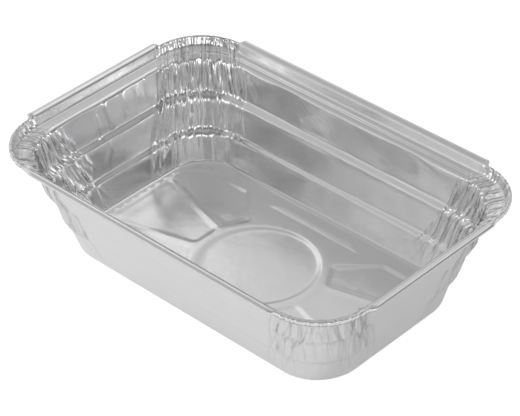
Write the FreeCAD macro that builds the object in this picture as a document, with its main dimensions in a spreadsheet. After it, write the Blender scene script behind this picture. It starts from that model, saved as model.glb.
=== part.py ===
import FreeCAD, Part
import math
import os

# Aluminium foil tray: three-tier walls with gathered corners, an embossed floor, a flange
# and an upstanding lip with a turned hem that leans out further along the straight sides.
# Millimetres. The origin is the middle of the base, X along the long side, Z up.
# The whole tray is pressed from one sheet of foil, so it is one solid.

os.makedirs("parts", exist_ok=True)
doc = FreeCAD.newDocument("foil_tray")

# Driving sizes: each step of the wall goes out by a run and up by a rise

SIZES = [
    ("foil_gauge", 0.1),
    ("base_length", 166.0),
    ("base_width", 96.0),
    ("base_radius", 22.3),
    ("radius_growth", 0.25),
    ("foot_run", 1.1),
    ("foot_rise", 1.0),
    ("low_tier_run", 3.2),
    ("low_tier_rise", 13.0),
    ("low_ledge_run", 1.9),
    ("low_ledge_rise", 2.0),
    ("middle_tier_run", 3.4),
    ("middle_tier_rise", 14.9),
    ("high_ledge_run", 2.4),
    ("high_ledge_rise", 2.4),
    ("top_tier_run", 3.2),
    ("top_tier_rise", 16.0),
    ("brim_bend_run", 0.9),
    ("brim_bend_rise", 0.9),
    ("flange_run", 4.5),
    ("flange_rise", 1.4),
    ("side_lip_run", 2.3),
    ("side_lip_rise", 6.3),
    ("side_hem_run", 2.7),
    ("side_hem_drop", 0.8),
    ("corner_lip_run", 1.5),
    ("corner_lip_rise", 5.3),
    ("corner_hem_run", 0.9),
    ("corner_hem_drop", 0.3),
    ("hem_turn", 0.7),
    ("lip_end_run", 1.6),
    ("gathers", 16),
    ("gather_depth", 0.9),
    ("gather_drift", 0.3),
    ("flange_ridge", 0.35),
    ("lip_tick", 0.5),
    ("emboss_depth", 0.6),
    ("emboss_slope_run", 2.2),
    ("disc_radius", 29.9),
    ("bead_length", 59.0),
    ("bead_width", 2.6),
    ("bead_taper", 7.0),
    ("bead_slope_run", 0.8),
    ("bead_height", 0.4),
    ("bead_offset", 39.3),
]

sheet = doc.addObject("Spreadsheet::Sheet", "sizes")
for row, (alias, value) in enumerate(SIZES, start=1):
    sheet.set("A%d" % row, alias)
    sheet.set("B%d" % row, str(value))
    sheet.setAlias("B%d" % row, alias)
doc.recompute()


def size(alias):
    return float(sheet.get(alias))


GAUGE = size("foil_gauge")
HALF_LENGTH = size("base_length") / 2
HALF_WIDTH = size("base_width") / 2
GATHERS = int(round(size("gathers")))

# Steps of the wall from the base to the flange's edge, with the share of the full
# gather depth that the corner folds have reached at the end of each step

WALL_STEPS = [
    ("foot", 0.0),
    ("low_tier", 0.35),
    ("low_ledge", 0.45),
    ("middle_tier", 0.65),
    ("high_ledge", 0.75),
    ("top_tier", 1.0),
    ("brim_bend", 0.7),
    ("flange", 0.3),
]


def section(place):
    """Underside of the foil's section, as (run, rise) points, for the sides or the corners."""
    run = 0.0
    rise = size("emboss_depth")
    points = [(run, rise)]
    for step, share in WALL_STEPS:
        run += size(step + "_run")
        rise += size(step + "_rise")
        points.append((run, rise))
    run += size(place + "_lip_run")
    rise += size(place + "_lip_rise")
    points.append((run, rise))
    run += size(place + "_hem_run")
    rise -= size(place + "_hem_drop")
    points.append((run, rise))
    points.append((run, rise - size("hem_turn")))
    return points


def offset_line(points, distance, closed=False):
    """The same line of points moved to its left by a distance, with mitred bends."""
    last_point = len(points) - 1
    moved = []
    for i, point in enumerate(points):
        normals = []
        for a, b in ((i - 1, i), (i, i + 1)):
            if not closed and (a < 0 or b > last_point):
                continue
            start, end = points[a], points[b % len(points)]
            along = (end[0] - start[0], end[1] - start[1])
            length = math.hypot(*along)
            normals.append((-along[1] / length, along[0] / length))
        first, last = normals[0], normals[-1]
        scale = distance / (1 + first[0] * last[0] + first[1] * last[1])
        moved.append((point[0] + scale * (first[0] + last[0]), point[1] + scale * (first[1] + last[1])))
    return moved


def ring_points(side, corner, fold, ridge):
    """One closed outline of the tray at one point of the section.

    The straight sides stand at the side's (run, rise) and the corners at the corner's.
    At every second corner point the foil is folded in by fold and lifted by ridge.
    The gathers differ in width and depth, and change a little up the wall, as crumpled foil does.
    """
    side_run, side_rise = side
    corner_run, corner_rise = corner
    radius = size("base_radius") + size("radius_growth") * corner_run
    centre_x = HALF_LENGTH + corner_run - radius
    centre_y = HALF_WIDTH + corner_run - radius
    end_x = centre_x - size("lip_end_run")
    end_y = centre_y - size("lip_end_run")
    side_x = HALF_LENGTH + side_run
    side_y = HALF_WIDTH + side_run
    # the two ends of the straight side that follows each corner
    side_ends = [
        ((end_x, side_y), (-end_x, side_y)),
        ((-side_x, end_y), (-side_x, -end_y)),
        ((-end_x, -side_y), (end_x, -side_y)),
        ((side_x, -end_y), (side_x, end_y)),
    ]
    count = 2 * GATHERS
    drift = size("gather_drift")
    points = []
    for turn, (sx, sy) in enumerate(((1, 1), (-1, 1), (-1, -1), (1, -1))):
        for k in range(count + 1):
            # the corner's two ends stay where the straight sides meet it
            shift = drift * math.sin(1.9 * k + turn) if 0 < k < count else 0.0
            angle = math.radians(90.0 * (turn + (k + shift) / count))
            depth = (k % 2) * (0.65 + 0.35 * math.sin(2.4 * k + 1.7 * turn + corner_rise / 25))
            reach = radius - fold * depth
            points.append(FreeCAD.Vector(
                sx * centre_x + reach * math.cos(angle),
                sy * centre_y + reach * math.sin(angle),
                corner_rise + ridge * depth,
            ))
        points += [FreeCAD.Vector(x, y, side_rise) for x, y in side_ends[turn]]
    return points


def add_loft(name, wires):
    loft = doc.addObject("Part::Loft", name)
    loft.Sections = wires
    loft.Solid = True
    loft.Ruled = True
    return loft


def add_wire(name, shape):
    feature = doc.addObject("Part::Feature", name)
    feature.Shape = shape
    return feature


def inner_side(line):
    """The foil's upper side: the same line one gauge in, level with the floor at its foot."""
    floor_point = (-HALF_WIDTH, line[0][1])
    return offset_line([floor_point] + line, GAUGE)[1:]


def wall_rings():
    """Outlines up the underside of the wall, over the hem's edge and down the inside."""
    folds = [0.0] + [share * size("gather_depth") for step, share in WALL_STEPS]
    folds += [size("lip_tick")] * 3
    ridges = [0.0] * len(folds)
    ridges[len(WALL_STEPS)] = size("flange_ridge")
    under = zip(section("side"), section("corner"), folds, ridges)
    inside = zip(inner_side(section("side")), inner_side(section("corner")), folds, ridges)
    rings = []
    for i, ring in enumerate(list(under) + list(inside)[::-1]):
        points = ring_points(*ring)
        rings.append(add_wire("ring_%02d" % i, Part.makePolygon(points + points[:1])))
    return rings


# Floor emboss: outlines as (x, y, corner radius) at the level of the ribs between the panels

END_PANEL = [(33.2, 7.9, 4.6), (79.6, 20.5, 3.4), (79.6, -20.5, 3.4), (33.2, -7.9, 4.6)]
CORNER_PANEL = [(25.3, 22.7, 2.8), (43.4, 39.7, 4.4), (79.6, 39.7, 12.0), (79.6, 21.8, 3.0), (33.5, 9.4, 4.0)]


def rounded_outline(corners, radii, z):
    """A closed wire through (x, y) corners, each rounded by an arc unless its radius is 0."""
    points = [FreeCAD.Vector(x, y, z) for x, y in corners]
    stops = []
    for i, corner in enumerate(points):
        back = (points[i - 1] - corner).normalize()
        ahead = (points[(i + 1) % len(points)] - corner).normalize()
        half = back.getAngle(ahead) / 2
        reach = radii[i] / math.tan(half)
        middle = (back + ahead).normalize()
        top = corner + middle * (radii[i] / math.sin(half) - radii[i])
        stops.append((corner + back * reach, top, corner + ahead * reach))
    edges = []
    for i, (start, top, end) in enumerate(stops):
        if radii[i] > 0:
            edges.append(Part.Arc(start, top, end).toShape())
        edges.append(Part.LineSegment(end, stops[(i + 1) % len(stops)][0]).toShape())
    return Part.Wire(edges)


def add_step(name, outline, slope_run, wide_z, narrow_z):
    """A shallow solid with sloping sides, from its wide outline to its narrow one."""
    corners = [(x, y) for x, y, radius in outline]
    radii = [radius for x, y, radius in outline]
    narrow = offset_line(corners, -slope_run, closed=True)
    narrow_radii = [max(radius - slope_run, 0.0) for radius in radii]
    wires = [
        add_wire(name + "_wide", rounded_outline(corners, radii, wide_z)),
        add_wire(name + "_narrow", rounded_outline(narrow, narrow_radii, narrow_z)),
    ]
    return add_loft(name, wires)


def add_mirror(name, source, normal):
    mirror = doc.addObject("Part::Mirroring", name)
    mirror.Source = source
    mirror.Normal = FreeCAD.Vector(normal)
    return mirror


def pressed_panels(name, lift):
    """The disc and the six panels that are pressed down from the ribs' level."""
    rib_z = size("emboss_depth") + lift
    slope_run = size("emboss_slope_run")
    disc = doc.addObject("Part::Cone", name + "_disc")
    disc.setExpression("Radius1", "sizes.disc_radius - sizes.emboss_slope_run")
    disc.setExpression("Radius2", "sizes.disc_radius")
    disc.setExpression("Height", "sizes.emboss_depth")
    disc.Placement.Base = FreeCAD.Vector(0, 0, lift)
    end = add_step(name + "_right_end", END_PANEL, slope_run, rib_z, lift)
    back = add_step(name + "_back_right", CORNER_PANEL, slope_run, rib_z, lift)
    front = add_mirror(name + "_front_right", back, (0, 1, 0))
    right = [end, back, front]
    left = [add_mirror(panel.Name.replace("right", "left"), panel, (1, 0, 0)) for panel in right]
    return [disc] + right + left


def raised_beads(name, lift):
    """The two stiffening beads beside the long walls, whose ends bend towards the middle."""
    tip_x = size("bead_length") / 2
    shoulder_x = tip_x - size("bead_taper")
    near = size("bead_offset") - size("bead_width") / 2
    far = size("bead_offset") + size("bead_width") / 2
    outline = [(-tip_x, near, 0.0), (-shoulder_x, far, 0.0), (shoulder_x, far, 0.0), (tip_x, near, 0.0)]
    rib_z = size("emboss_depth") + lift
    back = add_step(name + "_back", outline, size("bead_slope_run"), rib_z, rib_z + size("bead_height"))
    return [back, add_mirror(name + "_front", back, (0, 1, 0))]


# The wall is one closed loft, and the floor is a plate between its first and last rings.
# The emboss is added under the plate and, one gauge higher, taken away above it.

rings = wall_rings()
wall = add_loft("wall", rings)
wall.Closed = True
plate = add_loft("floor_plate", [rings[0], rings[-1]])
filled = doc.addObject("Part::MultiFuse", "floor_filled")
filled.Shapes = [plate] + pressed_panels("panel", 0.0) + raised_beads("bead", GAUGE)
hollows = doc.addObject("Part::MultiFuse", "emboss_hollows")
hollows.Shapes = pressed_panels("panel_hollow", GAUGE) + raised_beads("bead_hollow", 0.0)
floor = doc.addObject("Part::Cut", "floor")
floor.Base = filled
floor.Tool = hollows
tray = doc.addObject("Part::Fuse", "foil_tray")
tray.Label = "foil_tray"
tray.Base = wall
tray.Tool = floor
tray.Refine = False
doc.recompute()

for item in doc.Objects:
    if "Invalid" in item.State or "Error" in item.State:
        raise SystemExit("%s failed: %s" % (item.Label, item.State))

shape = tray.Shape
if shape.isNull() or not shape.isValid() or len(shape.Solids) != 1:
    raise SystemExit("foil_tray isn't one valid solid")
print("foil_tray", len(shape.Faces), "faces", round(shape.Volume, 1), "mm3", shape.BoundBox)
shape.exportStep("parts/foil_tray.step")
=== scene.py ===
import math
import random

import bpy
import numpy as np
from mathutils import Matrix, Vector, geometry, noise


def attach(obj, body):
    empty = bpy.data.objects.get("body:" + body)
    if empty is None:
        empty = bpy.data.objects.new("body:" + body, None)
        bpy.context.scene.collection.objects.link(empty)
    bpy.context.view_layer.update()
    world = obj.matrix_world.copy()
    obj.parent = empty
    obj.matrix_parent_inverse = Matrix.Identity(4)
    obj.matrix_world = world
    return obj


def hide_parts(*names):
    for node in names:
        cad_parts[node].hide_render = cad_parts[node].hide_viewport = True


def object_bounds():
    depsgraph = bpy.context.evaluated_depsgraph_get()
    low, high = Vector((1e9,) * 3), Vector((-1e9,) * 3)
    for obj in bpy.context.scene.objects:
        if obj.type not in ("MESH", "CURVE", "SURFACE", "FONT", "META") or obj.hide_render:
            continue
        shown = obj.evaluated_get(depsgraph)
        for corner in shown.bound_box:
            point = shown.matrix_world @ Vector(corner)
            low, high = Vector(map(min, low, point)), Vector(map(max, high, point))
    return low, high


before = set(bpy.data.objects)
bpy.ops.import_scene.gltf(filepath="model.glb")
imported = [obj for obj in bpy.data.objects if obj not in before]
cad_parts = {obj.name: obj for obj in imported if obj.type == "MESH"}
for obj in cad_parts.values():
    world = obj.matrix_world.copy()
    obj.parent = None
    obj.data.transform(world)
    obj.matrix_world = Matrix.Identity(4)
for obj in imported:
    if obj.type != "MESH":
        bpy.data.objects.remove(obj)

# An aluminium foil tray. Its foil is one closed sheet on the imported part's own section, with
# rounded bends, gathered corners, creases and slack walls. Lengths are in millimetres, and
# become metres when the mesh is made. Corners and sides are numbered counterclockwise: corner 0
# is at +X +Y, and side 0, at +Y, follows it.

CAD_BOX = [list(corner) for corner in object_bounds()]
MM = 0.001

GAUGE = 0.1
HALF_LENGTH = 83.0
HALF_WIDTH = 48.0
BASE_RADIUS = 22.3
RADIUS_GROWTH = 0.25
EMBOSS_DEPTH = 0.6
WALL_RUN = 15.0
FLANGE_RISE = 50.3
HALF_ARC = (BASE_RADIUS + RADIUS_GROWTH * WALL_RUN) * math.pi / 4

# Steps of the section from the base up: run, rise, rows along it, share of the corner folds
# at its end, and how far its end bend is rounded along the sides and in the corners

WALL_STEPS = [
    (1.1, 1.0, 0, 0.15, 0.4, 0.4),
    (3.2, 13.0, 5, 0.55, 0.7, 1.4),
    (1.9, 2.0, 1, 0.70, 0.7, 1.4),
    (3.4, 14.9, 5, 0.80, 0.7, 1.6),
    (2.4, 2.4, 1, 1.00, 0.7, 1.6),
    (3.0, 15.7, 6, 1.00, 0.5, 0.9),
    (0.45, 0.8, 0, 0.90, 0.0, 0.0),
    (1.25, 0.75, 0, 0.85, 0.0, 0.0),
    (0.7, 0.3, 0, 0.80, 0.0, 0.0),
    (0.5, -0.10, 0, 0.80, 0.0, 0.0),
    (2.7, 0.85, 1, 0.80, 0.5, 1.6),
]
SIDE_LIP = [
    (1.75, 5.50, 3, 0.0, 0.0, 0.0),
    (0.35, 0.05, 0, 0.0, 0.0, 0.0),
    (0.25, 0.60, 0, 0.0, 0.0, 0.0),
    (1.55, 0.15, 0, 0.0, 0.0, 0.0),
    (1.00, -0.65, 1, 0.0, 0.4, 0.4),
    (0.10, -0.75, 1, 0.0, 0.0, 0.0),
]
CORNER_LIP = [
    (1.00, 3.30, 3, 0.75, 0.0, 0.0),
    (0.15, 0.70, 0, 0.75, 0.0, 0.0),
    (0.15, 0.70, 0, 0.75, 0.0, 0.0),
    (0.20, 0.60, 0, 0.70, 0.0, 0.0),
    (0.80, -0.25, 1, 0.60, 0.4, 0.4),
    (0.10, -1.90, 1, 0.60, 0.0, 0.0),
]
SIDE_BEND, CORNER_BEND = 4, 5
BEND_LIMIT = 0.45


def section_rows(lip, bend):
    """Rows of (run, rise, fold share) up the section, with the bends rounded by column bend."""
    steps = WALL_STEPS + lip
    knots = [np.array([0.0, EMBOSS_DEPTH, 0.0])]
    for run, rise, _, share, _, _ in steps:
        knots.append(np.array([knots[-1][0] + run, knots[-1][1] + rise, share]))
    reaches = [0.0] + [step[bend] for step in steps]
    rounded = [False] + [step[SIDE_BEND] + step[CORNER_BEND] > 0 for step in steps[:-1]] + [False]
    rows = [knots[0]]
    for i, step in enumerate(steps, start=1):
        start, end = knots[i - 1], knots[i]
        length = np.linalg.norm((end - start)[:2])
        first = min(reaches[i - 1] / length, BEND_LIMIT) if rounded[i - 1] else 0.0
        last = 1.0 - (min(reaches[i] / length, BEND_LIMIT) if rounded[i] else 0.0)
        for k in range(1, step[2] + 1):
            rows.append(start + (end - start) * (first + (last - first) * k / (step[2] + 1)))
        if not rounded[i]:
            rows.append(end)
            continue
        after = knots[i + 1]
        after_length = np.linalg.norm((after - end)[:2])
        into = start + (end - start) * last
        out = end + (after - end) * min(reaches[i] / after_length, BEND_LIMIT)
        # the bend is a parabola, given by its two ends and its middle
        rows += [into, 0.25 * into + 0.5 * end + 0.25 * out, out]
    return np.array(rows)


def section_normals(rows):
    """For each row, the (run, rise) direction of the foil's upper side."""
    along = np.gradient(rows[:, :2], axis=0)
    along /= np.linalg.norm(along, axis=1)[:, None]
    return np.column_stack([-along[:, 1], along[:, 0]])


SIDE_ROWS = section_rows(SIDE_LIP, SIDE_BEND)
CORNER_ROWS = section_rows(CORNER_LIP, CORNER_BEND)
SIDE_NORMALS = section_normals(SIDE_ROWS)
CORNER_NORMALS = section_normals(CORNER_ROWS)

# Columns round the tray: close together in the corners and near them, further apart between

ARC_COLUMNS = 92
NEAR_LENGTH = 12.0
NEAR_SPACING = 0.55
FAR_SPACING = (2.2, 0.8)
SIDE_LENGTHS = (129.0, 59.0)


def side_fractions(length, spacing):
    """Places along a side from 0 to 1, dense at both ends."""
    near = np.arange(NEAR_SPACING, NEAR_LENGTH, NEAR_SPACING)
    middle = np.linspace(NEAR_LENGTH, length - NEAR_LENGTH, int((length - 2 * NEAR_LENGTH) / spacing))
    return np.concatenate([near, middle, length - near[::-1]]) / length


def make_columns():
    """For each column its corner or side number, place, and whether it is on a side."""
    number, place, on_side = [], [], []
    for turn in range(4):
        for k in range(ARC_COLUMNS + 1):
            number.append(turn)
            place.append(k / ARC_COLUMNS)
            on_side.append(False)
        for fraction in side_fractions(SIDE_LENGTHS[turn % 2], FAR_SPACING[turn % 2]):
            number.append(turn)
            place.append(fraction)
            on_side.append(True)
    return np.array(number), np.array(place), np.array(on_side)


NUMBER, PLACE, ON_SIDE = make_columns()
CORNER_SIGNS = np.array([(1, 1), (-1, 1), (-1, -1), (1, -1)])
SIDE_OUT = np.array([(0, 1), (-1, 0), (0, -1), (1, 0)])

# how long the lip takes to come out to its full width at the start and end of each side
LIP_ENDS = np.array([(1.6, 1.6), (1.6, 1.6), (7.0, 1.8), (1.8, 7.0)])


def ring(run):
    """Plan of one ring. For each column: its point, its outward direction, its distance from the
    nearest corner's middle, that corner's number, its distance from the nearest end of its
    side, and whether it is past the middle."""
    radius = BASE_RADIUS + RADIUS_GROWTH * run
    centre = np.array([HALF_LENGTH + run - radius, HALF_WIDTH + run - radius])
    after = (NUMBER + 1) % 4
    angle = np.radians(90.0 * (NUMBER + PLACE))
    outward = np.column_stack([np.cos(angle), np.sin(angle)])
    points = CORNER_SIGNS[NUMBER] * centre + radius * outward
    start = CORNER_SIGNS[NUMBER] * centre + radius * SIDE_OUT[NUMBER]
    end = CORNER_SIGNS[after] * centre + radius * SIDE_OUT[NUMBER]
    straight = start + (end - start) * PLACE[:, None]
    length = np.linalg.norm(end - start, axis=1)
    points = np.where(ON_SIDE[:, None], straight, points)
    outward = np.where(ON_SIDE[:, None], SIDE_OUT[NUMBER], outward)
    half_arc = radius * math.pi / 4
    from_start = PLACE * length
    late = PLACE > 0.5
    reach = np.where(late, -(half_arc + length - from_start), half_arc + from_start)
    reach = np.where(ON_SIDE, reach, (PLACE - 0.5) * 2 * half_arc)
    corner = np.where(ON_SIDE & late, after, NUMBER)
    inset = np.where(ON_SIDE, np.minimum(from_start, length - from_start), 0.0)
    return points, outward, reach, corner, inset, late


def smooth(share):
    """0 below 0 and 1 above 1, with a soft step between."""
    share = np.clip(share, 0.0, 1.0)
    return share * share * (3 - 2 * share)


def peak(away):
    """1 at 0, and falls evenly to 0 at a distance of 1."""
    return np.clip(1 - np.abs(away), 0, 1)


def side_blend(inset, late):
    """0 in the corners and 1 where the side's own lip has its full width."""
    starts, stops = LIP_ENDS[NUMBER].T
    return smooth(inset / np.where(late, stops, starts)) * ON_SIDE


NOISE_SHIFT = (13.7, 5.1, 9.3)


def noise_field(points, grain, seed):
    """Soft noise from -1 to 1 at each point, with a grain of (x, y, z) millimetres."""
    shift = Vector([seed * step for step in NOISE_SHIFT])
    return np.array([noise.noise(Vector((p[0] / grain[0], p[1] / grain[1], p[2] / grain[2])) + shift)
                     for p in points])


# Corner folds: ridges that fan out from the corner as they go down the wall

FOLD_SEED = 40
LEVELS = [0.0, 16.6, 34.0]
FULL_TURN = 6.28
# fine folds, and how often they end at each level; the long wall's at -X +Y mostly end high up
FOLD_COUNT = 30
FOLD_REACH = 1.15
FOLD_WIDTH = (0.45, 0.85)
FOLD_HEIGHT = (0.7, 1.7)
FOLD_SLANT = 0.04
FOLD_ENDS = (5, 3, 3)
HIGH_CORNER = 1
HIGH_ENDS = (1, 2, 8)
# wide folds
WIDE_COUNT = 6
WIDE_REACH = 1.05
WIDE_WIDTH = (1.3, 2.3)
WIDE_HEIGHT = (0.7, 1.4)
WIDE_SLANT = 0.13
WIDE_ENDS = (3, 3, 4)
# how folds fan out, widen, wander and swell on their way, and how they come in at their end
FOLD_SPREAD = 0.38
FOLD_WIDENING = 0.5
WANDER, WANDER_RISE = 1.1, 6.0
SWELL_MEAN, SWELL_RANGE, SWELL_PHASE, SWELL_RISE = 0.72, 0.22, 2.3, 2.4
FOLD_LEAD, FOLD_FADE = 1.5, 5.0
RIDGE_POWER = 1.3
# where the band of painted shade lies beside a fold's ridge, and how wide it is, in fold widths
FOLD_SHADE_PLACE, FOLD_SHADE_WIDTH = 1.2, 0.7


def corner_folds(corner):
    """Folds of one corner: (place at the brim, half width, height, end level, phase, slant)."""
    pick = random.Random(FOLD_SEED + corner)
    folds = []
    for k in range(FOLD_COUNT):
        share = (k + pick.uniform(0.1, 0.9)) / FOLD_COUNT
        place = (-FOLD_REACH + 2 * FOLD_REACH * share) * HALF_ARC
        width = pick.uniform(*FOLD_WIDTH)
        height = pick.uniform(*FOLD_HEIGHT)
        weights = HIGH_ENDS if corner == HIGH_CORNER and share < 0.5 else FOLD_ENDS
        end = pick.choices(LEVELS, weights=weights)[0]
        phase = pick.uniform(0, FULL_TURN)
        folds.append((place, width, height, end, phase, pick.uniform(-FOLD_SLANT, FOLD_SLANT)))
    for k in range(WIDE_COUNT):
        share = (k + pick.uniform(0.1, 0.9)) / WIDE_COUNT
        place = (-WIDE_REACH + 2 * WIDE_REACH * share) * HALF_ARC
        end = pick.choices(LEVELS, weights=WIDE_ENDS)[0]
        width = pick.uniform(*WIDE_WIDTH)
        height = pick.uniform(*WIDE_HEIGHT)
        phase = pick.uniform(0, FULL_TURN)
        folds.append((place, width, height, end, phase, pick.uniform(-WIDE_SLANT, WIDE_SLANT)))
    return folds


FOLDS = [corner_folds(corner) for corner in range(4)]


def fold_depth(reach, corner, rise):
    """How far the corner folds push the foil to its upper side at one height, and painted shade beside them.
    """
    depth, fold_shade = np.zeros_like(reach), np.zeros_like(reach)
    down = 1.0 - min(rise, FLANGE_RISE) / FLANGE_RISE
    for number, folds in enumerate(FOLDS):
        here = corner == number
        total, shade = np.zeros(here.sum()), np.zeros(here.sum())
        for place, width, height, end, phase, slant in folds:
            centre = place * (1 + FOLD_SPREAD * down) + WANDER * math.sin(phase + rise / WANDER_RISE)
            centre += slant * (FLANGE_RISE - rise)
            fade = smooth((rise - end + FOLD_LEAD) / FOLD_FADE)
            fade *= SWELL_MEAN + SWELL_RANGE * math.sin(SWELL_PHASE * phase + rise / SWELL_RISE)
            away = (reach[here] - centre) / (width * (1 + FOLD_WIDENING * down))
            total += height * fade * peak(away) ** RIDGE_POWER
            # painted shade: a band beside the ridge of each fold that slants one way, darkening the colour
            shade += (slant > 0) * fade * peak((away - FOLD_SHADE_PLACE) / FOLD_SHADE_WIDTH)
        depth[here], fold_shade[here] = total, np.clip(shade, 0, 1)
    return depth, fold_shade


# Lip ticks: the short even pleats of the flange and lip

TICK_PITCH = 2.75
TICK_HEIGHT = 1.1
TICK_REACH, TICK_BLEND = 1.12, 4.0
DRIFT, DRIFT_RATE = 0.35, 0.9
LEAN, LEAN_RATE = 0.06, 0.3
CORNER_PHASE = 2.1
TICK_MEAN, TICK_RANGE, TICK_RATE = 0.7, 0.3, 3.1


def tick_depth(reach, corner, level, rise):
    """How far the ticks push the foil to its upper side, measured from level, and the painted shade that
    darkens the gaps between them."""
    phase = reach / TICK_PITCH + DRIFT * np.sin(reach * DRIFT_RATE + corner * CORNER_PHASE)
    phase += LEAN * (rise - FLANGE_RISE) * np.sin(CORNER_PHASE * corner + LEAN_RATE * reach)
    wave = np.abs(np.sin(math.pi * phase)) ** 0.5
    strength = smooth((HALF_ARC * TICK_REACH - np.abs(reach)) / TICK_BLEND)
    strength *= TICK_MEAN + TICK_RANGE * np.sin(TICK_RATE * np.floor(phase) + corner)
    # the second part is painted shade, strongest where the wave is low between the ticks
    return (wave - level) * strength, np.clip(1.8 - 2.4 * wave, 0, 1) * strength


# Single creases of the walls: both ends (x, y, z), height towards the inside (below 0 for a
# valley), half width

CREASES = [
    (-97, -9, 45, -95, -9, 33, 0.9, 0.5),
    (-98, -3, 49, -95, 0, 35, 0.9, 0.55),
    (-98, 9, 49, -96, 9, 37, 0.9, 0.4),
    (-100, 23, 51, -97, 18, 45, 0.8, 0.4),
    (-97, 18, 45, -94, 17, 33, 0.8, 0.4),
    (-98, 25, 50, -96, 24, 39, 0.8, 0.4),
    (-92, -5, 29, -90, -10, 20, 0.9, 0.4),
    (-100, -32, 51, -96, -28, 41, 0.9, 0.7),
    (-96, -28, 41, -93, -23, 32, 1.0, 0.7),
    (-93, -23, 32, -91, -19, 24, 0.9, 0.5),
    (-99, -38, 50, -96, -32, 39, 0.9, 0.7),
    (-96, -32, 39, -91, -21, 26, 1.0, 0.7),
    (-100, -35, 51, -97, -32, 45, 0.7, 0.6),
    (-97, -32, 45, -96, -25, 37, 0.8, 0.6),
    (-95, -37, 35, -92, -31, 31, 0.9, 0.7),
    (-92, -31, 31, -91, -26, 24, 1.0, 0.7),
    (-91, -26, 24, -89, -21, 17, 0.9, 0.6),
    (-97, -42, 47, -94, -42, 35, 0.8, 0.6),
    (-94, -42, 35, -91, -39, 28, 0.9, 0.6),
    (-90, -33, 20, -86, -25, 10, 1.2, 0.8),
    (-91, -39, 28, -89, -28, 17, 0.9, 0.6),
    (-86, 17, 10, -89, 24, 16, 0.8, 0.6),
    (-85, 21, 6, -88, 32, 16, 0.9, 0.8),
    (-95, 37, 34, -90, 27, 22, 0.8, 0.7),
    (-96, 29, 37, -91, 24, 24, 0.7, 0.5),
    (-76, 49, 13, -73, 46, 1, -0.6, 0.6),
    (18, 63, 47, 24, 60, 33, 0.8, 0.4),
    (-30, 61, 39, -22, 57, 31, 0.8, 0.3),
    (-63, 62, 45, -58, 61, 39, 0.8, 0.5),
    (-56, 62, 45, -53, 61, 41, 0.8, 0.5),
]
CREASE_SKIRT = 2.2
RIPPLE_MEAN, RIPPLE_RANGE, RIPPLE_RATE = 0.82, 0.18, 1.1


def crease_depth(points):
    """How far the single creases push the foil inwards at each point."""
    depth = np.zeros(len(points))
    for crease in CREASES:
        start, end = np.array(crease[0:3]), np.array(crease[3:6])
        height, half_width = crease[6:]
        along = end - start
        share = np.clip((points - start) @ along / (along @ along), 0, 1)
        away = np.linalg.norm(points - start - share[:, None] * along, axis=1)
        wave = np.sin(share * np.linalg.norm(along) * RIPPLE_RATE + 2 * crease[1])
        ripple = RIPPLE_MEAN + RIPPLE_RANGE * wave
        depth += height * peak(away / (CREASE_SKIRT * half_width)) ** RIDGE_POWER * ripple
    return depth


# Soft irregularities as (amount, grain, seed): crumples near the corners, slack between them

BROAD_CRUMPLE = (1.1, (4.0, 4.0, 8.0), 1)
FINE_CRUMPLE = (0.6, (2.1, 2.1, 4.2), 2)
CRUMPLE_LEVEL = 0.35
CRUMPLE_REACH, CRUMPLE_BLEND = 1.25, 8.0
BROAD_SLACK = (0.45, (24, 24, 15), 3)
FINE_SLACK = (0.12, (8, 8, 9), 4)
# where the rim, the wall and the hem begin, and how far each takes to come in
RIM_LEAD, RIM_BLEND = 1.5, 2.0
WALL_START, WALL_BLEND = 1.6, 4.0
HEM_START, HEM_BLEND = 22.9, 2.0
CORNER_BLEND = 9.0


def build_wall():
    """Points of the wall, one array of rings from the floor's edge to the hem's edge, and for each point how
    much painted shade darkens its colour in the tick gaps and beside the fold ridges."""
    rings, painted_shade_rings = [], []
    for side, corner_row, side_normal, corner_normal in zip(
            SIDE_ROWS, CORNER_ROWS, SIDE_NORMALS, CORNER_NORMALS):
        run, rise, share = corner_row
        points, outward, reach, corner, inset, late = ring(run)
        on_rim = smooth((rise - FLANGE_RISE + RIM_LEAD) / RIM_BLEND)
        on_wall = smooth((rise - WALL_START) / WALL_BLEND)
        on_hem = smooth((side[0] - HEM_START) / HEM_BLEND)
        # from the corner's section to the side's
        blend = on_rim * side_blend(inset, late) + (1 - on_rim) * smooth(inset / CORNER_BLEND) * ON_SIDE
        blend = blend[:, None]
        row = corner_row + (side - corner_row) * blend
        normal = corner_normal + (side_normal - corner_normal) * blend
        solid = np.column_stack([points + outward * (row[:, :1] - run), row[:, 1]])
        folds, fold_shade = fold_depth(reach, corner, rise)
        depth = share * (1 - 0.75 * on_rim) * folds
        near = smooth((HALF_ARC * CRUMPLE_REACH - np.abs(reach)) / CRUMPLE_BLEND)
        crumple = CRUMPLE_LEVEL
        for amount, grain, seed in (BROAD_CRUMPLE, FINE_CRUMPLE):
            crumple = crumple - amount * np.abs(noise_field(solid, grain, seed))
        crumple = np.where(crumple < 0, 0.4 * crumple, crumple)
        slack = 0
        for amount, grain, seed in (BROAD_SLACK, FINE_SLACK):
            slack = slack + amount * noise_field(solid, grain, seed)
        depth += on_wall * (near * crumple * share * (1 - 0.4 * on_rim) + (1 - on_rim) * slack)
        depth += (1 - on_rim) * crease_depth(solid)
        depth *= 1 - 0.8 * on_hem
        ticks, tick_shade = tick_depth(reach, corner, 0.7 + 0.3 * on_hem, rise)
        depth += TICK_HEIGHT * share * (0.2 + 0.8 * on_rim) * ticks
        move = np.column_stack([outward * normal[:, :1], normal[:, 1]]) * depth[:, None]
        rings.append(solid + move)
        # painted shade: how much the colour is darkened in the tick gaps on the rim and beside the fold
        # ridges on the wall
        painted_shade_rings.append(np.clip(on_rim * tick_shade * share + 0.85 * on_wall * (1 - on_rim) * fold_shade * share, 0, 1))
    return np.array(rings), np.array(painted_shade_rings)


# Floor emboss: outlines as (x, y, corner radius) at the level of the ribs between the panels

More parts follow.
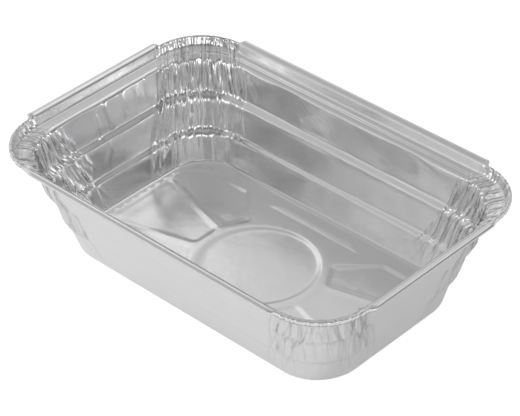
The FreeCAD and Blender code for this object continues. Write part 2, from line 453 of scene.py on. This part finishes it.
END_PANEL = [(33.2, 7.9, 4.6), (79.6, 20.5, 3.4), (79.6, -20.5, 3.4), (33.2, -7.9, 4.6)]
CORNER_PANEL = [(25.3, 22.7, 2.8), (43.4, 39.7, 4.4), (79.6, 39.7, 12.0), (79.6, 21.8, 3.0), (33.5, 9.4, 4.0)]
# the slope down into a panel: its run, how far it is spread beyond, and (share of run, share sunk)
SLOPE_RUN = 2.2
SLOPE_SPREAD = 0.35
SLOPE_STEPS = ((0.0, 0.0), (0.14, 0.07), (0.5, 0.5), (0.86, 0.93), (1.0, 1.0))
DISC_RADIUS = 29.9
DISC_POINTS = 150
BEAD_LENGTH = 59.0
BEAD_WIDTH = 2.6
BEAD_HEIGHT = 0.4
BEAD_OFFSET = 39.3
BEAD_TAPER = 7.0
BEAD_SLOPE = 0.42
TIP_SLOPE = 5.2
BEAD_TOP_POINTS, BEAD_BASE_POINTS = 32, 40
OUTLINE_SPACING = 1.3
# points between the outlines: rows, columns, spacing, and room left at the rim and the outlines
FILL_ROWS, FILL_COLUMNS = range(-17, 18), range(-27, 28)
FILL_PITCH = 3.2
ROW_PITCH = 0.87
RIM_ROOM = 1.2
OUTLINE_ROOM_SQUARED = 1.2
# slack of the floor as (amount, grain, seed), the lift that it is added to, and its limit
FLOOR_SLACK = (0.045, (17, 13, 1), 7)
FLOOR_LIFT = 0.02
FLOOR_LIMIT = 0.1


def rounded_loop(corners, inset):
    """Points round an outline of (x, y, radius) corners, clockwise, moved in by inset."""
    marks = [Vector((x, y)) for x, y, radius in corners]
    loop = []
    for i, mark in enumerate(marks):
        back = (marks[i - 1] - mark).normalized()
        ahead = (marks[(i + 1) % len(marks)] - mark).normalized()
        half = back.angle(ahead) / 2
        radius = corners[i][2]
        centre = mark + (back + ahead).normalized() * (radius / math.sin(half))
        touch = mark + back * (radius / math.tan(half)) - centre
        start = math.atan2(touch.y, touch.x)
        sweep = math.pi - 2 * half
        count = max(3, int(sweep * radius / OUTLINE_SPACING))
        for k in range(count + 1):
            angle = start - sweep * k / count
            loop.append(centre + Vector((math.cos(angle), math.sin(angle))) * (radius - inset))
    dense = []
    for point, after in zip(loop, loop[1:] + loop[:1]):
        count = max(1, int((after - point).length / OUTLINE_SPACING))
        dense += [point.lerp(after, k / count) for k in range(count)]
    return dense


def bead_loop(inset):
    """Points round the bead at +Y, moved in by inset: straight near the disc, tapered beyond."""
    near, far = BEAD_OFFSET - BEAD_WIDTH / 2 + inset, BEAD_OFFSET + BEAD_WIDTH / 2 - inset
    tip = BEAD_LENGTH / 2 - TIP_SLOPE * inset
    shoulder = BEAD_LENGTH / 2 - BEAD_TAPER
    top = [(x, far) for x in np.linspace(-shoulder, shoulder, BEAD_TOP_POINTS)]
    return [(-tip, near)] + top + [(x, near) for x in np.linspace(tip, -tip, BEAD_BASE_POINTS)[:-1]]


def inside(loop, x, y):
    hit = False
    for a, b in zip(loop, loop[1:] + loop[:1]):
        if (a[1] > y) != (b[1] > y) and x < a[0] + (b[0] - a[0]) * (y - a[1]) / (b[1] - a[1]):
            hit = not hit
    return hit


MID_END = rounded_loop(END_PANEL, SLOPE_RUN / 2)
MID_CORNER = rounded_loop(CORNER_PANEL, SLOPE_RUN / 2)


def panel_share(x, y, corner):
    """Share of the full depth that a panel is pressed to: only the back corner ones have it all."""
    if corner:
        return 1.0 if y > 0 else 0.4
    return 0.5 if x < 0 else 0.3


def plain_height(x, y):
    """Height of a floor point that is on no outline: a pressed panel, a bead or the ribs."""
    end_share, corner_share = panel_share(x, y, False), panel_share(x, y, True)
    x, y = abs(x), abs(y)
    if math.hypot(x, y) < DISC_RADIUS - SLOPE_RUN / 2:
        return 0.0
    if inside(MID_END, x, y):
        return EMBOSS_DEPTH * (1 - end_share)
    if inside(MID_CORNER, x, y):
        return EMBOSS_DEPTH * (1 - corner_share)
    if abs(y - BEAD_OFFSET) < BEAD_WIDTH / 2 and x < BEAD_LENGTH / 2 - BEAD_TAPER:
        return EMBOSS_DEPTH + BEAD_HEIGHT
    return EMBOSS_DEPTH


def floor_outlines():
    """(loop, height) for each line drawn on the floor, down each slope in steps."""
    lines = []
    turns = np.linspace(0, 2 * math.pi, DISC_POINTS, endpoint=False)
    for share, sunk in SLOPE_STEPS:
        inset = (SLOPE_RUN + 2 * SLOPE_SPREAD) * share - SLOPE_SPREAD
        radius = DISC_RADIUS - inset
        disc = [(radius * math.cos(turn), radius * math.sin(turn)) for turn in turns]
        lines.append((disc, EMBOSS_DEPTH * (1 - sunk)))
        end, corner = rounded_loop(END_PANEL, inset), rounded_loop(CORNER_PANEL, inset)
        for sx in (1, -1):
            low = EMBOSS_DEPTH * (1 - panel_share(sx, 0, False) * sunk)
            lines.append(([(sx * x, y) for x, y in end], low))
            for sy in (1, -1):
                low = EMBOSS_DEPTH * (1 - panel_share(sx, sy, True) * sunk)
                lines.append(([(sx * x, sy * y) for x, y in corner], low))
    for share in (0.0, 0.5, 1.0):
        bead = bead_loop(share * BEAD_WIDTH * BEAD_SLOPE)
        height = EMBOSS_DEPTH + BEAD_HEIGHT * smooth(share)
        lines += [([(x, sy * y) for x, y in bead], height) for sy in (1, -1)]
    return lines


def build_floor(edge):
    """Floor points, faces, and which points are the wall's first ring."""
    spots, heights, edges = [], [], []
    rim = [(p[0], p[1]) for p in edge]
    for loop, height in [(rim, EMBOSS_DEPTH)] + floor_outlines():
        first = len(spots)
        spots += loop
        heights += [height] * len(loop)
        count = len(loop)
        edges += [(first + i, first + (i + 1) % count) for i in range(count)]
    drawn = np.array(spots)
    for j in FILL_ROWS:
        for i in FILL_COLUMNS:
            x, y = (i + 0.5 * (j % 2)) * FILL_PITCH, j * ROW_PITCH * FILL_PITCH
            over = (max(0.0, abs(x) - HALF_LENGTH + BASE_RADIUS), max(0.0, abs(y) - HALF_WIDTH + BASE_RADIUS))
            if math.hypot(*over) > BASE_RADIUS - RIM_ROOM:
                continue
            if ((drawn - (x, y)) ** 2).sum(1).min() > OUTLINE_ROOM_SQUARED:
                spots.append((x, y))
                heights.append(plain_height(x, y))
    made, _, faces, sources, _, _ = geometry.delaunay_2d_cdt([Vector(s) for s in spots], edges, [], 0, 1e-6)
    points = np.array([(v.x, v.y, heights[source[0]]) for v, source in zip(made, sources)])
    amount, grain, seed = FLOOR_SLACK
    points[:, 2] += np.clip(amount * noise_field(points, grain, seed) + FLOOR_LIFT, 0, FLOOR_LIMIT)
    rim_of = {i: s for i, source in enumerate(sources) for s in source if s < len(rim)}
    return points, faces, rim_of


def build_tray():
    """The foil's sheet, which lies on the solid's lower side and gets its gauge from a modifier."""
    rings, painted_shade_rings = build_wall()
    row_count, column_count = rings.shape[:2]
    points = [tuple(p) for p in rings.reshape(-1, 3)]
    faces = []
    for row in range(row_count - 1):
        for column in range(column_count):
            after = (column + 1) % column_count
            below, above = row * column_count, (row + 1) * column_count
            faces.append((below + column, above + column, above + after, below + after))
    floor_points, floor_faces, rim_of = build_floor(rings[0])
    index = {}
    for i, point in enumerate(floor_points):
        if i in rim_of:
            index[i] = rim_of[i]
        else:
            index[i] = len(points)
            points.append(tuple(point))
    faces += [tuple(index[i] for i in face) for face in floor_faces]
    limit = np.array(CAD_BOX[1]) / MM - GAUGE
    shaped = np.array(points)
    shaped[:, :2] = np.clip(shaped[:, :2], -limit[:2], limit[:2])
    shaped[:, 2] = np.clip(shaped[:, 2], 0.0, limit[2])
    mesh = bpy.data.meshes.new("tray_foil")
    mesh.from_pydata([Vector(p) * MM for p in shaped], [], faces)
    # painted shade: a point attribute that darkens the foil's colour in the gaps and beside the folds; the
    # floor gets none
    painted_shade = mesh.attributes.new("painted_shade", "FLOAT", "POINT")
    painted_shade.data.foreach_set("value", np.concatenate([painted_shade_rings.ravel(), np.zeros(len(points) - painted_shade_rings.size)]))
    mesh.validate()
    mesh.shade_smooth()
    tray = bpy.data.objects.new("tray_foil", mesh)
    bpy.context.collection.objects.link(tray)
    thick = tray.modifiers.new("gauge", "SOLIDIFY")
    thick.thickness = GAUGE * MM
    thick.offset = 1.0
    thick.material_offset = 1
    return tray


def add_math(tree, operation, first, second, clamp=False):
    node = tree.nodes.new("ShaderNodeMath")
    node.operation = operation
    node.use_clamp = clamp
    for socket, value in zip(node.inputs, (first, second)):
        if isinstance(value, float):
            socket.default_value = value
        else:
            tree.links.new(value, socket)
    return node.outputs[0]


def add_noise(tree, scale, detail):
    """Noise over the piece, with scale as (x, y, z) per metre."""
    mapping = tree.nodes.new("ShaderNodeMapping")
    mapping.inputs["Scale"].default_value = scale
    tree.links.new(tree.nodes.new("ShaderNodeTexCoord").outputs["Object"], mapping.inputs["Vector"])
    node = tree.nodes.new("ShaderNodeTexNoise")
    node.inputs["Scale"].default_value = 1.0
    node.inputs["Detail"].default_value = detail
    tree.links.new(mapping.outputs["Vector"], node.inputs["Vector"])
    return node.outputs["Fac"]


def add_bump(tree, height, distance, normal=None):
    node = tree.nodes.new("ShaderNodeBump")
    node.inputs["Distance"].default_value = distance
    tree.links.new(height, node.inputs["Height"])
    if normal:
        tree.links.new(normal, node.inputs["Normal"])
    return node.outputs["Normal"]


# Rolling marks and dents: (x, y, z) per metre, detail, what they add to the roughness, depth in
# metres

STREAK_SCALE, STREAK_DETAIL, STREAK_ROUGHNESS, STREAK_DEPTH = (60.0, 1500.0, 1500.0), 2.0, 0.08, 0.000006
DENT_SCALE, DENT_DETAIL, DENT_ROUGHNESS, DENT_DEPTH = (110.0, 110.0, 80.0), 3.0, 0.16, 0.0001
MEAN_SPREAD = 0.12


def foil_material(name, bright, shade_colour, roughness):
    """Satin aluminium: fine rolling marks, soft dents, and painted shade that darkens the colour in the gaps
    and beside the folds.
    """
    material = bpy.data.materials.new(name)
    material.use_nodes = True
    tree = material.node_tree
    shader = tree.nodes["Principled BSDF"]
    shader.inputs["Metallic"].default_value = 1.0
    # painted shade: the attribute mixes the foil's colour towards its shade colour
    painted_shade = tree.nodes.new("ShaderNodeAttribute")
    painted_shade.attribute_name = "painted_shade"
    colour = tree.nodes.new("ShaderNodeMix")
    colour.data_type = "RGBA"
    colour.inputs["A"].default_value = (*bright, 1)
    colour.inputs["B"].default_value = (*shade_colour, 1)
    tree.links.new(painted_shade.outputs["Fac"], colour.inputs["Factor"])
    tree.links.new(colour.outputs["Result"], shader.inputs["Base Color"])
    streaks = add_noise(tree, STREAK_SCALE, STREAK_DETAIL)
    dents = add_noise(tree, DENT_SCALE, DENT_DETAIL)
    dent_part = add_math(tree, "MULTIPLY", dents, DENT_ROUGHNESS)
    spread = add_math(tree, "ADD", dent_part, add_math(tree, "MULTIPLY", streaks, STREAK_ROUGHNESS))
    tree.links.new(add_math(tree, "ADD", spread, roughness - MEAN_SPREAD), shader.inputs["Roughness"])
    normal = add_bump(tree, dents, DENT_DEPTH)
    tree.links.new(add_bump(tree, streaks, STREAK_DEPTH, normal), shader.inputs["Normal"])
    return material


# the sheet's own side is the inside of the tray, and the modifier's side the outside
tray = build_tray()
# the second colour of each finish is its painted shade
tray.data.materials.append(foil_material("foil_bright", (0.92, 0.92, 0.925), (0.4, 0.4, 0.4), 0.2))
tray.data.materials.append(foil_material("foil_matt", (0.88, 0.88, 0.885), (0.62, 0.62, 0.62), 0.36))
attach(tray, "root")
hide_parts("foil_tray")

# Camera at the photograph's viewing angle

CAMERA_AZIMUTH = math.radians(44.14)
CAMERA_ELEVATION = math.radians(36.497)
CAMERA_ROLL = math.radians(-1.346)
CAMERA_DISTANCE = 1.12405
CAMERA_TARGET = Vector((-0.030697, 0.033823, 0.0))
SENSOR_WIDTH = 36.0
LENS = 160.74

back = Vector((math.sin(CAMERA_AZIMUTH) * math.cos(CAMERA_ELEVATION),
               -math.cos(CAMERA_AZIMUTH) * math.cos(CAMERA_ELEVATION),
               math.sin(CAMERA_ELEVATION)))
level = (-back).cross(Vector((0, 0, 1))).normalized()
rise = level.cross(-back)
right = level * math.cos(CAMERA_ROLL) + rise * math.sin(CAMERA_ROLL)
up = rise * math.cos(CAMERA_ROLL) - level * math.sin(CAMERA_ROLL)
camera_data = bpy.data.cameras.new("camera")
camera_data.sensor_fit = "HORIZONTAL"
camera_data.sensor_width = SENSOR_WIDTH
camera_data.lens = LENS
camera = bpy.data.objects.new("camera", camera_data)
bpy.context.collection.objects.link(camera)
place = Matrix((right, up, back)).transposed().to_4x4()
place.translation = CAMERA_TARGET + back * CAMERA_DISTANCE
camera.matrix_world = place
bpy.context.scene.camera = camera

# Studio. Strengths are of the floor's glow in the foil and to the camera, and of the world where
# it has no field. Lamps are (name, place, side, watts, whether the foil mirrors it).

FLOOR_HALF = 3.0
FLOOR_DROP = 0.0002
FLOOR_GLOW = 0.15
CAMERA_GLOW = 0.66
PLAIN_LEVEL = 0.3
LAMPS = [
    ("key", (-0.98, 0.6, 1.07), 0.5, 0.28, True),
    ("top", (0.38, 0.95, 1.22), 0.5, 0.35, True),
    ("fill", (-1.2, -0.6, 1.0), 0.8, 9.0, False),
]


def stage_floor():
    corners = [(-1, -1), (1, -1), (1, 1), (-1, 1)]
    mesh = bpy.data.meshes.new("studio_floor")
    mesh.from_pydata([(x * FLOOR_HALF, y * FLOOR_HALF, -FLOOR_DROP) for x, y in corners], [], [(0, 1, 2, 3)])
    material = bpy.data.materials.new("studio_white")
    material.use_nodes = True
    tree = material.node_tree
    shader = tree.nodes["Principled BSDF"]
    shader.inputs["Base Color"].default_value = (0.9, 0.9, 0.9, 1)
    shader.inputs["Roughness"].default_value = 0.9
    shader.inputs["Specular IOR Level"].default_value = 0.0
    shader.inputs["Emission Color"].default_value = (1, 1, 1, 1)
    # white to the camera and dimmer in the foil; its lit part keeps the shadow
    path = tree.nodes.new("ShaderNodeLightPath").outputs
    mirrored = add_math(tree, "ADD", path["Is Glossy Ray"], path["Is Transmission Ray"], clamp=True)
    direct = add_math(tree, "MULTIPLY", path["Is Camera Ray"], CAMERA_GLOW)
    glow = add_math(tree, "ADD", add_math(tree, "MULTIPLY", mirrored, FLOOR_GLOW), direct)
    tree.links.new(glow, shader.inputs["Emission Strength"])
    mesh.materials.append(material)
    floor = bpy.data.objects.new("studio_floor", mesh)
    bpy.context.collection.objects.link(floor)


def studio_world():
    """What the foil mirrors: a plain level with paler fields at the left, along the horizon, low
    on the camera's side, high at the back and overhead, and darker ones high on the camera's
    side and low at the right of the back. The camera itself sees white."""
    world = bpy.data.worlds.new("studio")
    world.use_nodes = True
    tree = world.node_tree
    background = tree.nodes["Background"]
    direction = tree.nodes.new("ShaderNodeTexCoord").outputs["Generated"]
    split = tree.nodes.new("ShaderNodeSeparateXYZ")
    tree.links.new(direction, split.inputs["Vector"])
    x, y, z = split.outputs

    def plus(first, second):
        return add_math(tree, "ADD", first, second)

    def minus(first, second):
        return add_math(tree, "SUBTRACT", first, second)

    def times(first, second):
        return add_math(tree, "MULTIPLY", first, second)

    def rising(value, low, high, amount=1.0):
        """Rises smoothly from 0 to amount as value goes from low to high."""
        node = tree.nodes.new("ShaderNodeMapRange")
        node.interpolation_type = "SMOOTHSTEP"
        node.inputs["From Min"].default_value = low
        node.inputs["From Max"].default_value = high
        node.inputs["To Max"].default_value = amount
        tree.links.new(value, node.inputs["Value"])
        return node.outputs["Result"]

    def falling(value, low, high, amount=1.0):
        return minus(amount, rising(value, low, high, amount))

    # six pale boxes stand round the horizon, 60 degrees apart
    azimuth = minus(add_math(tree, "ARCTAN2", y, x), math.radians(134))
    boxes = rising(add_math(tree, "COSINE", times(azimuth, 6.0), 0.0), -0.6, 0.8)
    horizon = times(falling(z, 0.15, 0.45, 0.36), boxes)
    camera_way = minus(x, y)
    front = times(times(rising(camera_way, 0.1, 0.9, 1.4), boxes), falling(z, 0.35, 0.6))
    left = minus(rising(times(x, -1.0), -0.1, 0.5, 0.37), rising(minus(0.0, y), 0.2, 0.6, 0.1))
    left = times(left, falling(z, 0.35, 0.88))
    band = add_math(tree, "MAXIMUM", left, plus(horizon, front))
    high_back = times(rising(y, 0.2, 0.6, 0.13), rising(z, 0.5, 0.8))
    ceiling = rising(z, 0.3, 0.9, 0.1)
    camera_side = times(rising(camera_way, 0.4, 1.1, 0.2), rising(z, 0.3, 0.6))
    right_way = plus(times(x, 0.81), times(y, 0.58))
    right_back = times(rising(right_way, 0.75, 0.97, 0.12), falling(z, 0.3, 0.6))
    light = plus(plus(band, high_back), plus(ceiling, PLAIN_LEVEL))
    light = minus(minus(light, camera_side), right_back)
    path = tree.nodes.new("ShaderNodeLightPath")
    light = add_math(tree, "MAXIMUM", light, path.outputs["Is Camera Ray"])
    tree.links.new(light, background.inputs["Strength"])
    background.inputs["Color"].default_value = (1, 1, 1, 1)
    bpy.context.scene.world = world


def area_lamp(name, location, side, power, mirrored):
    data = bpy.data.lights.new(name, "AREA")
    data.shape = "SQUARE"
    data.size = side
    data.energy = power
    lamp = bpy.data.objects.new(name, data)
    bpy.context.collection.objects.link(lamp)
    lamp.location = location
    lamp.rotation_mode = "QUATERNION"
    lamp.rotation_quaternion = Vector(location).to_track_quat("Z", "Y")
    lamp.visible_glossy = mirrored


stage_floor()
studio_world()
for lamp in LAMPS:
    area_lamp(*lamp)

bpy.context.scene.view_settings.view_transform = "Standard"
